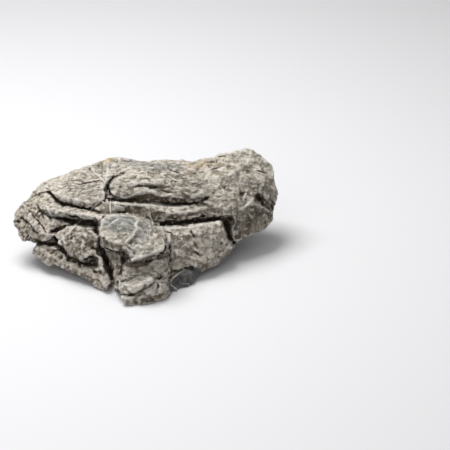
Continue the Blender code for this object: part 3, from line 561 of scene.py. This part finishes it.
# Sharp edges that stand proud and have weathered light, then fine cracks and slits, narrower than the
# crevices, and small round holes. Edges give width, height and line in the front view, slits the same values
# as crevices, and holes their place and radius.
EDGES = [
    (4.5, 2, [-12,88, -9,84, -11,80, -9,77, -12,73, -14,69, -18,66, -21,63, -20,60, -15,56]),
    (3, 0.6, [-14,58, -8,60, -3,56, 2,58]),
    (3, 1.1, [-22,52, -18,44, -12,46.5, -6,47, 1,50, 7,51.5, 12,56, 17,52, 21,56]),
    (4, 1.2, [-36,109, -29,107, -20,107.5, -10,111, 0,113, 8,112, 13,108]),
    (4, 1, [0,101.5, 12,100.5, 25,98, 45,98]),
    (4, 0.8, [108,108, 103,103, 98,99, 92,94]),
    (3.5, 1, [9,77, 25,76.5, 43,77, 55,79, 68,83]),
    (3.5, 1.2, [21,69, 25,63, 26,55, 24,47]),
    (3, 1.2, [-47,89, -45,86, -46,82, -49,81.5]),
    (3, 1, [-108,93, -100,90.5, -92,89, -80,90, -66,86.5, -52,87]),
    (3, 1, [-27,18, -20,25, -10,28, -1,28.5]),
    (3, 1.2, [8,48, 14,50, 21,50.5]),
    (3, 1, [-100,99, -97,92, -93,84, -96,78]),
]
SLITS = [
    (2.2, 3.5, 0.4, [-13,118.3, -8,119, -3,119.3]),
    (2.4, 4, 0.4, [-2,118.7, 3,117.3, 7,117, 12,117.5]),
    (1.6, 1.8, 0.4, [-9,125.5, -2,126, 4,126]),
    (1.6, 2, 0.3, [22,123, 26,123.7, 30,123.3]),
    (1.8, 2.5, 0.3, [20,136.5, 27,133.5, 36,130]),
    (1.8, 2.5, 0.3, [14,115, 19,113.5, 26,112]),
    (1.8, 3, 0.2, [109,134.5, 114,133, 119,131.5]),
    (1.5, 1.6, 0.4, [45,131, 51,131.5, 57,133]),
    (1.6, 2, 0.4, [63,135, 68,136, 73,136.3]),
    (1.5, 1.6, 0.4, [77,138, 83,138.4, 89,138]),
    (1.5, 1.6, 0.4, [59,141.5, 63,142.7, 68,143]),
    (1.6, 2, 0.4, [70,148, 75,148.6, 79,148]),
    (1.8, 2.5, 0.3, [-116,109, -108,111, -99,113.3, -92,114.3]),
    (1.4, 1.8, 0.3, [-92,114.3, -84,117, -77,119, -70,118.3]),
    (1.7, 2.6, 0.3, [-72,118.5, -63,121.3, -54,123, -46,124, -42,121]),
    (2, 3, 0.2, [-37,121, -34,123.5, -30,125.3]),
    (2.2, 4, 0.2, [43,74.5, 45,71.5, 48,68]),
    (1.8, 3, 0.2, [47,63, 48.5,60, 50.5,56.5]),
    (1.8, 3, 0.2, [45,54, 49,52.5, 54,48]),
    (1.8, 3, 0.2, [17,73, 22,71.5, 28,70]),
    (1.8, 2.5, 0.2, [-22,61, -18,57.5, -14,54]),
    (1.8, 3, 0.2, [-92,54, -89,57, -86,60]),
    (1.6, 3, 0.2, [123,106, 126,103, 129,99.5]),
    (1.8, 3, 0.2, [-110,94, -103,91.5, -94,87.5, -86,85]),
    (1.6, 2.5, 0.2, [-127,88, -121,84, -114,76, -108,70]),
    (1.6, 2.5, 0.2, [-121,98, -114,90, -106,80, -100,72]),
    (1.6, 2.5, 0.2, [-110,102, -107,94, -103,86]),
]
HOLES = [
    -57,136,1.8, -73,131,1.4, -102,121.5,1.6, -42,133.5,1.3, -125,87,2.2, -129,83.5,1.8, -123,77,1.8,
    -52.5,33,2.4, 74,62,2, 71.5,48,2, 81,49,1.4, 95,111,2.5, -75,66,1.5, -64,68,1.2, 112,107,3, -30,46,1.8,
    -43,67,1.4, -104,50,1.6, -78,38,1.4, 34,60,1.4,
]


def from_edge(spots, width, line):
    """How far each spot is from an edge, in widths, and how much of the edge there is, less at its ends."""
    far, _, share = along_line(spots, line)
    return far / width, soft_step(np.minimum(share, 1 - share), 0, 0.15) * seen


edge_spots = in_front_view(places)[:, :2] + warp[:, :2] * 0.9
for width, lift, line in EDGES:
    off, there = from_edge(edge_spots, width, line)
    places -= (np.clip(1 - 2 * off, 0, 1) * there * lift)[:, None] * INWARD
spots = in_front_view(places)
places = cut_cracks(places, spots, seen, SLITS, INWARD)
uneven = 1 + 0.6 * noise_at(places, 3, 8)
for across, up, radius in np.reshape(HOLES, (-1, 3)):
    far = np.hypot(spots[:, 0] - across, (spots[:, 1] - up) * 1.2)
    dip = soft_step(radius * 1.3 - far * uneven, 0, radius) * radius * 1.3
    places += (dip * seen)[:, None] * INWARD
set_places(places)
TRIANGLES = 194000
apply_modifier("DECIMATE", ratio=TRIANGLES / sum(len(face.vertices) - 2 for face in stone.data.polygons))
bpy.ops.object.shade_smooth()

# What the weather has left on the skin, kept there for the paint: how proud or hollow each place is, and how
# far it faces the key light, faces down or is hidden from the sky, for painted light and shade; and the
# stains, crusts, fresh breaks and calcite veins of the front view. A stain has layers, each with its
# strength, softness and outline, and a vein has its line.
STAINS = {
    "blue_grey": [
        (1, 4, [-48,78, -43,88, -30,91.5, -14,89, -11,82, -14,74, -26,71, -40,75]),
        (0.6, 3, [-12,88, 4,82, 10,74, 0,66, -10,70]),
        (0.6, 4, [-20,148, 0,144, 30,143, 40,138, 20,133, -5,135, -22,140]),
        (0.45, 4, [-66,136, -44,145, -30,149, -34,139, -50,134]),
        (0.5, 5, [76,130, 96,136, 112,128, 104,118, 86,122]),
    ],
    "cream_crust": [(1, 5, [38,132, 60,124, 96,128, 122,120, 134,108, 128,150, 100,160, 40,148])],
    "yellow_stain": [(1, 2, [-48,141, -40,139, -34,143, -33,149, -48,146])],
    "pink_stain": [(1, 2, [-47,140, -36,139, -30,141, -36,143])],
    "moss": [(1, 2.5, [-126,65, -116,66, -106,64, -107,58, -114,55, -122,58])],
    "rust": [
        (1, 4, [34,138, 42,134, 58,136, 76,143, 74,148, 56,146, 38,144]),
        (0.7, 2, [-116,107, -92,112, -84,116, -90,118, -108,113]),
    ],
    "calcite": [
        (1, 1, [0,10, 4,11, 5,16, 2,18, -1,14]),
        (0.45, 1.5, [-10,87, -6,78, -3,72, -1,66, -5,62, -11,64, -13,70, -11,78]),
        (0.4, 1.5, [-20,62, -13,57, -4,52, 3,55, 10,57, 8,52, -4,47, -16,46]),
    ],
}
VEINS = {
    "vein_slant": [-45,106, -94,57],
    "vein_y_left": [-56,138, -53,133, -47,128, -43,124, -41.5,120, -41,113],
    "vein_y_right": [-39,141, -40,133, -41,126, -41.5,120],
    "vein_boss": [-38,80, -33,84, -28,86],
    "vein_shelf": [3,89, 4.5,85.5, 6,81],
    "vein_wedge": [-36.5,105, -37,99, -36.5,93],
    "vein_prow": [-5,11, 4,17.5, 12,24, 20,30],
    "vein_break": [24,20, 31,15],
}
CRACK_SHADE_LINE = [-41.2,105.5, -40.8,112, -39.6,117, -37.5,123, -33.5,127.6, -28,130, -23,131.6]


def evened(values, times):
    """The values averaged with their neighbours', so many times."""
    edges = np.empty(2 * len(stone.data.edges), dtype=np.int32)
    stone.data.edges.foreach_get("vertices", edges)
    one, other = edges.reshape(-1, 2).T
    ends, others = np.concatenate((one, other)), np.concatenate((other, one))
    neighbours = np.bincount(ends, minlength=len(values))
    columns = values.reshape(len(values), -1)
    for _ in range(times):
        sums = np.stack([np.bincount(ends, column[others], len(values)) for column in columns.T], axis=1)
        columns = (columns + sums) / (neighbours + 1)[:, None]
    return columns.reshape(values.shape)


def keep(name, values):
    """Stores one value for each vertex under that name."""
    stone.data.attributes.new(name, "FLOAT", "POINT").data.foreach_set("value", values.astype(np.float32))


places, normals, spots, _, seen = survey()
smoothed = evened(places, 3)
smoother = evened(smoothed, 6)
keep("fine_relief", evened(np.einsum("ij,ij->i", places - smoothed, normals), 1))
keep("middle_relief", np.einsum("ij,ij->i", smoothed - smoother, normals))

# how much of the sky the skin around each place hides from it
RAYS = 14
REACH = 12
tree = bvhtree.BVHTree.FromPolygons(places.tolist(), [face.vertices[:] for face in stone.data.polygons])
turns = np.arange(RAYS) * 2.39996
heights = 1 - (np.arange(RAYS) + 0.5) / RAYS * 0.92
beside = np.cross(normals, np.where(np.abs(normals[:, :1]) < 0.7, (1, 0, 0), (0, 1, 0)))
beside /= np.linalg.norm(beside, axis=1)[:, None]
beyond = np.cross(normals, beside)
hidden = np.zeros(len(places))
starts = (places + normals * 0.35).tolist()
for turn, rise in zip(turns, heights):
    ways = (beside * math.cos(turn) + beyond * math.sin(turn)) * math.sqrt(1 - rise * rise) + normals * rise
    gaps = [tree.ray_cast(start, way, REACH)[3] for start, way in zip(starts, ways.tolist())]
    hidden += [0 if gap is None else 1 - 0.5 * gap / REACH for gap in gaps]
hidden = evened(hidden / RAYS, 1)
# painted light and shade: how far each face turns up and to the left, towards the key light
keep("painted_key_light_side", evened(normals @ Vector((-0.25, 0, 0.97)), 2))
# painted shade: how far each face turns down, under the ledges and lips
keep("underside", evened(-normals[:, 2], 1))

marks = {name: patch(spots, seen, outline, soft) for name, (soft, outline) in PATCHES.items()}
# painted shade, with some soil: darker where the skin around hides it from the sky, a little less in the
# recess
keep("sheltered_shade", hidden * (1 - 0.2 * marks["recess"]))
keep("dark_break", marks["dark_break"])
keep("less_soil_and_shade", sum_of(low_right=0.8, recess=0.5))
keep("brown", most_of(end=1, foot=0.7, recess=1, below_boss=0.6))
keep("bleached", np.clip(sum_of(low_right=1, foot=0.85, end=0.85, recess=0.5), 0, 1))
broken = most_of(pitted=1, foot=1, end=1, dark_break=1, boss_right=1, low_right=0.6)
keep("banded", np.clip(1 - broken - 0.35 * marks["boss_left"], 0, 1))
# painted shade: the flank, the shelf's front, the wedge and other faces turned away from the light or under
# ledges
dark = most_of(flank=1, shelf_front=1, below_boss=0.5, wedge=0.9, right_face=0.3, prow_tip=0.5, pitted=0.4)
keep("painted_shade_faces", np.maximum(dark, 0.85 * marks["boss_flank"]))
for name, layers in STAINS.items():
    stains = [share * patch(spots, seen, outline, soft) for share, soft, outline in layers]
    keep(name, np.maximum.reduce(stains))

# the rims and pits of the cups, and the crests of the edges
warp = warp_at(places)
bent = places + warp * 2.5
bowls_9, bowls_5 = bowls_at(bent + 40, 9.5, (1.2, 1, 0.9)), bowls_at(bent + 80, 5.2)
wide_rims = soft_step(bowls_9, 0.45, 0.85) * sum_of(low_right=1, boss_right=0.9, flank=0.3, right_face=0.6)
small_rims = soft_step(bowls_5, 0.45, 0.85) * sum_of(pitted=1, foot=0.7, end=0.5)
keep("rim", np.clip(np.maximum(wide_rims, small_rims), 0, 1))
pitting = sum_of(pitted=1, foot=0.5, end=0.5, below_boss=0.7, boss_flank=1, right_face=0.4)
keep("pit", np.clip(soft_step(-bowls_5, -0.22, -0.04) * pitting, 0, 1))
crests = np.zeros(len(spots))
for width, _, line in EDGES:
    off, there = from_edge(spots[:, :2] + warp[:, :2] * 0.9, width, line)
    crests = np.maximum(crests, soft_step(-off, -0.5, -0.1) * there)
keep("crest", crests)

# the crack's line, painted near black as its shade and soil, and each vein as the distance from its line,
# with its sign by side
far, _, share = along_line(spots[:, :2] + warp[:, :2] * 0.4, CRACK_SHADE_LINE)
keep("crack_shade_and_soil", soft_step(-far, -1.9, -0.8) * (1 - 0.8 * soft_step(share, 0.6, 1)) * seen)
vein_near = np.zeros(len(spots))
for name, line in VEINS.items():
    far, side, _ = along_line(spots[:, :2], line)
    keep(name, far * side)
    vein_near = np.maximum(vein_near, soft_step(-far, -2.4, -1.2) * seen)
keep("vein_near", vein_near)

# The stone's own stuff: matt grey limestone, mottled and streaked along its beds, darker where it is fresh,
# pale where rain has washed it, brown with soil and painted shade in its hollows, and crossed by white
# calcite.
# Over it lies painted light and shade: lighter on faces turned towards the key light, darker on faces turned
# away or down, and darker still in hollows hidden from the sky.
material = bpy.data.materials.new("grey_limestone")
material.use_nodes = True
nodes, links = material.node_tree.nodes, material.node_tree.links
shader = nodes["Principled BSDF"]
place = nodes.new("ShaderNodeTexCoord").outputs["Object"]


def put(socket, value):
    """Links a node's output to a socket, or sets the socket to a number or colour."""
    if isinstance(value, bpy.types.NodeSocket):
        links.new(value, socket)
    else:
        socket.default_value = (*value, 1) if socket.type == "RGBA" else value


def attribute(name):
    """The value stored on the skin under that name."""
    node = nodes.new("ShaderNodeAttribute")
    node.attribute_name = name
    return node.outputs["Fac"]


def sums(operation, *values):
    """One step of arithmetic."""
    node = nodes.new("ShaderNodeMath")
    node.operation = operation
    for socket, value in zip(node.inputs, values):
        put(socket, value)
    return node.outputs[0]


def ramp(value, low, high, bottom=0.0, top=1.0):
    """The value carried smoothly from between low and high to between bottom and top."""
    node = nodes.new("ShaderNodeMapRange")
    node.interpolation_type = "SMOOTHSTEP"
    for socket, number in zip(node.inputs, (value, low, high, bottom, top)):
        put(socket, number)
    return node.outputs["Result"]


def blend(amount, under, over, way="MIX"):
    """One colour laid over another."""
    node = nodes.new("ShaderNodeMix")
    node.data_type = "RGBA"
    node.blend_type = way
    for index, value in ((0, amount), (6, under), (7, over)):
        put(node.inputs[index], value)
    return node.outputs[2]


def noise_node(vector, scale, detail, rough=0.5):
    """A noise pattern, with scale bumps to a metre."""
    node = nodes.new("ShaderNodeTexNoise")
    for name, value in (("Vector", vector), ("Scale", scale), ("Detail", detail), ("Roughness", rough)):
        put(node.inputs[name], value)
    return node


def stretched(vector, stretch, turn=0.0):
    """Places turned about the depth axis and stretched."""
    node = nodes.new("ShaderNodeMapping")
    put(node.inputs["Vector"], vector)
    put(node.inputs["Rotation"], (0, turn, 0))
    put(node.inputs["Scale"], stretch)
    return node.outputs[0]


def speckle(scale, detail=4.0, rough=0.6, stretch=(1, 1, 1)):
    """Noise fixed in the stone."""
    return noise_node(stretched(place, stretch), scale, detail, rough).outputs["Fac"]


def streak(scale, rough=0.7):
    """Noise drawn out along the bedding, and bent a little."""
    bend = noise_node(place, 28, 2).outputs["Color"]
    shift = nodes.new("ShaderNodeVectorMath")
    shift.operation = "MULTIPLY_ADD"
    for socket, value in zip(shift.inputs, (bend, (0.0, 0.02, 0.02), place)):
        put(socket, value)
    bedding = stretched(shift.outputs[0], (0.13, 0.9, 1), math.radians(7))
    return noise_node(bedding, scale, 5, rough).outputs["Fac"]


def grey(level, warm=0.0):
    """A stone colour of that lightness."""
    return (level * (1 + warm), level, level * (1 - warm * 1.5))


def where(name, low, high, most):
    """How strong a layer is that follows an attribute, up to most."""
    return ramp(attribute(name), low, high, 0, most)


def dabbed(name, pattern, low, high, least, most):
    """How strong a layer is that follows an attribute in dabs."""
    return sums("MULTIPLY", attribute(name), ramp(pattern, low, high, least, most))


def mottled(pattern, low, high, dark, light):
    """Two colours mixed by a pattern."""
    return blend(ramp(pattern, low, high), dark, light)


# painted light and shade: a lit and a shaded grey, mixed by how far each face turns towards the key light
pale = mottled(speckle(45, 6, 0.62), 0.38, 0.62, grey(0.31, 0.09), grey(0.52, 0.08))
shady = mottled(speckle(70, 5), 0.35, 0.65, grey(0.18, 0.14), grey(0.34, 0.10))
drift = sums("MULTIPLY", sums("SUBTRACT", speckle(60), 0.5), 0.7)
colour = mottled(sums("ADD", attribute("painted_key_light_side"), drift), -0.15, 0.85, shady, pale)
# how strong the painted shade and soil in the relief's hollows is: less on banded faces, the low right and
# the recess
soil_and_shade_amount = sums("SUBTRACT", 1.0, sums("MULTIPLY", attribute("banded"), 0.6))
soil_and_shade_amount = sums("SUBTRACT", soil_and_shade_amount, attribute("less_soil_and_shade"))
SOIL_AND_SHADE = (0.10, 0.078, 0.056)

# flecks, bands, rims, pits, and painted shade on the faces turned away from the light and under the ledges
for amount, over in (
    (ramp(speckle(350, 4, 0.65, (0.5, 1, 1)), 0.54, 0.60, 0, 0.66), grey(0.08, 0.18)),
    (ramp(speckle(390, 4, 0.65, (0.5, 1, 0.8)), 0.54, 0.61, 0, 0.62), grey(0.80, 0.06)),
    (dabbed("banded", streak(420), 0.50, 0.62, 0, 0.62), grey(0.13, 0.16)),
    (dabbed("banded", streak(520), 0.53, 0.64, 0, 0.58), grey(0.74, 0.06)),
    (ramp(speckle(120, 7, 0.72, (0.35, 1, 1)), 0.50, 0.68, 0, 0.3), grey(0.15, 0.16)),
    (ramp(speckle(330, 5, 0.7), 0.56, 0.70, 0, 0.45), grey(0.13, 0.16)),
    (dabbed("rim", speckle(200, 4, 0.7), 0.40, 0.6, 0.1, 0.7), grey(0.64, 0.06)),
    (dabbed("pit", speckle(170, 4, 0.7), 0.40, 0.58, 0.1, 0.85), grey(0.11, 0.2)),
    (where("blue_grey", 0, 1, 0.7),
     mottled(streak(300), 0.45, 0.58, (0.125, 0.133, 0.13), (0.38, 0.39, 0.375))),
    # painted shade: faces turned away from the light darkened to brown
    (where("painted_shade_faces", 0, 1, 0.76),
     mottled(speckle(130, 7, 0.78, (1, 1, 0.45)), 0.42, 0.60, (0.06, 0.046, 0.032), (0.30, 0.265, 0.22))),
):
    colour = blend(amount, colour, over)
deeper = nodes.new("ShaderNodeGamma")
put(deeper.inputs["Color"], colour)
put(deeper.inputs["Gamma"], 1.28)
colour = blend(1.0, deeper.outputs[0], grey(1.36), "MULTIPLY")

# stains, crusts, painted shade under overhangs and in hollows hidden from the sky, painted shade and soil in
# the relief's hollows, lighter proud ridges and washed crests
for amount, over in (
    (where("brown", 0, 1, 0.62),
     mottled(speckle(190, 6, 0.72), 0.43, 0.58, (0.19, 0.135, 0.085), (0.64, 0.555, 0.45))),
    (dabbed("bleached", speckle(240, 5, 0.7), 0.44, 0.58, 0.1, 0.6), (0.62, 0.565, 0.49)),
    (where("cream_crust", 0, 1, 0.9),
     mottled(speckle(180, 7, 0.7, (0.6, 1, 1)), 0.42, 0.60, (0.27, 0.23, 0.175), (0.84, 0.79, 0.68))),
    (where("yellow_stain", 0.2, 1, 0.8), (0.42, 0.31, 0.12)),
    (dabbed("rust", speckle(120, 5, 0.7, (0.5, 1, 1)), 0.42, 0.62, 0, 0.75), (0.50, 0.375, 0.245)),
    (dabbed("moss", speckle(220, 5, 0.7), 0.40, 0.56, 0.2, 0.9), (0.115, 0.095, 0.022)),
    (where("pink_stain", 0.2, 1, 0.5), (0.45, 0.30, 0.24)),
    # painted shade, with a little soil: faces that turn down are darkened to brown
    (where("underside", -0.05, 0.55, 0.75), (0.125, 0.093, 0.06)),
    # painted shade, with some soil: brown, then near black, in hollows hidden from the sky
    (where("sheltered_shade", 0.27, 0.68, 0.72), (0.145, 0.105, 0.066)),
    (where("sheltered_shade", 0.50, 0.76, 0.93), (0.045, 0.034, 0.024)),
    # painted shade with some soil: the crack's line near black
    (attribute("crack_shade_and_soil"), (0.035, 0.027, 0.02)),
    # painted shade with some soil: the hollows of the middle and fine relief darkened to brown-black
    (sums("MULTIPLY", soil_and_shade_amount, where("middle_relief", -0.05, -0.8, 0.8)), SOIL_AND_SHADE),
    # lighter on the proud ridges of the middle and fine relief: weathered edges, and partly a painted
    # highlight
    (where("middle_relief", 0.08, 0.7, 0.4), (0.63, 0.595, 0.54)),
    (sums("MULTIPLY", soil_and_shade_amount, where("fine_relief", -0.04, -0.35, 0.85)), SOIL_AND_SHADE),
    (where("fine_relief", 0.06, 0.36, 0.65), (0.76, 0.72, 0.66)),
    (dabbed("crest", speckle(230, 4, 0.7), 0.36, 0.56, 0.3, 0.95), (0.76, 0.73, 0.68)),
    (where("dark_break", 0.2, 0.8, 0.88),
     mottled(speckle(130), 0.35, 0.7, (0.055, 0.058, 0.066), (0.16, 0.16, 0.168))),
):
    colour = blend(amount, colour, over)

# the calcite: veins, hair-thin threads and patches
veins = 0.0
for names, outer, inner, most in (
    (("vein_slant",), 0.8, 0.3, 0.85),
    (("vein_prow", "vein_break", "vein_boss"), 0.8, 0.2, 0.85),
    (("vein_y_left", "vein_y_right", "vein_shelf", "vein_wedge"), 1.05, 0.4, 0.9),
):
    for name in names:
        veins = sums("MAXIMUM", veins, ramp(sums("ABSOLUTE", attribute(name)), outer, inner, 0, most))
veins = sums("MULTIPLY", veins, attribute("vein_near"))
thread = sums("ABSOLUTE", sums("SUBTRACT", speckle(38, 2.5, 0.5), 0.5))
thread = sums("MULTIPLY", ramp(thread, 0.006, 0.002), ramp(speckle(60, 2), 0.5, 0.62))
colour = blend(sums("MAXIMUM", veins, sums("MULTIPLY", thread, 0.7)), colour, (0.74, 0.72, 0.68))
colour = blend(dabbed("calcite", speckle(170, 5, 0.7), 0.40, 0.56, 0.35, 1.0), colour, (0.76, 0.74, 0.71))
put(shader.inputs["Base Color"], colour)
put(shader.inputs["Roughness"], 0.88)
put(shader.inputs["Specular IOR Level"], 0.25)

beds = sums("MULTIPLY", sums("MULTIPLY", streak(330, 0.65), attribute("banded")), 0.9)
bump = nodes.new("ShaderNodeBump")
put(bump.inputs["Strength"], 1.0)
put(bump.inputs["Distance"], 0.0026)
put(bump.inputs["Height"], sums("ADD", sums("MULTIPLY", speckle(420, 5, 0.75), 1.2), beds))
put(shader.inputs["Normal"], bump.outputs[0])
stone.data.materials.clear()
stone.data.materials.append(material)

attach(stone, "root")
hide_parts("seiryu_stone")

# The pale floor, the soft light from above and the camera of the photograph.
bpy.ops.mesh.primitive_plane_add(size=8)
floor = bpy.context.object
floor.name = "floor"
paper = bpy.data.materials.new("white_paper")
paper.use_nodes = True
sheet = paper.node_tree.nodes["Principled BSDF"]
put(sheet.inputs["Base Color"], (0.61, 0.61, 0.62))
put(sheet.inputs["Roughness"], 1.0)
put(sheet.inputs["Specular IOR Level"], 0.0)
floor.data.materials.append(paper)

world = bpy.data.worlds.new("studio")
bpy.context.scene.world = world
world.use_nodes = True
sky = world.node_tree.nodes["Background"]
put(sky.inputs["Color"], (1, 1, 1))
put(sky.inputs["Strength"], 0.34)


def add_softbox(name, place, size, energy):
    """A square lamp that points at the stone."""
    lamp = bpy.data.lights.new(name, "AREA")
    lamp.energy = energy
    lamp.size = size
    box = bpy.data.objects.new(name, lamp)
    bpy.context.scene.collection.objects.link(box)
    box.location = place
    box.rotation_euler = (Vector((0, 0, 0.04)) - box.location).to_track_quat("-Z", "Y").to_euler()


add_softbox("key_light", (-0.28, 0.18, 1.0), 0.6, 13.9)
add_softbox("top_light", (0.05, 0.0, 1.25), 1.6, 2)
add_softbox("front_light", (-0.35, -1.1, 0.75), 1.2, 5.0)

lens = bpy.data.cameras.new("camera")
lens.lens = 135
lens.sensor_width = 36
camera = bpy.data.objects.new("camera", lens)
bpy.context.scene.collection.objects.link(camera)
bpy.context.scene.camera = camera
up, out = VIEW_CENTRE[1], VIEW_PLANE
centre = Vector((
    VIEW_CENTRE[0] - MIDDLE[0],
    math.sin(TILT) * up - math.cos(TILT) * out - MIDDLE[1],
    math.cos(TILT) * up + math.sin(TILT) * out,
))
camera.location = (centre + Vector((0, -math.cos(TILT), math.sin(TILT))) * VIEW_DISTANCE) * UNIT
camera.rotation_euler = (math.radians(90) - TILT, 0, 0)
bpy.context.scene.view_settings.view_transform = "Standard"
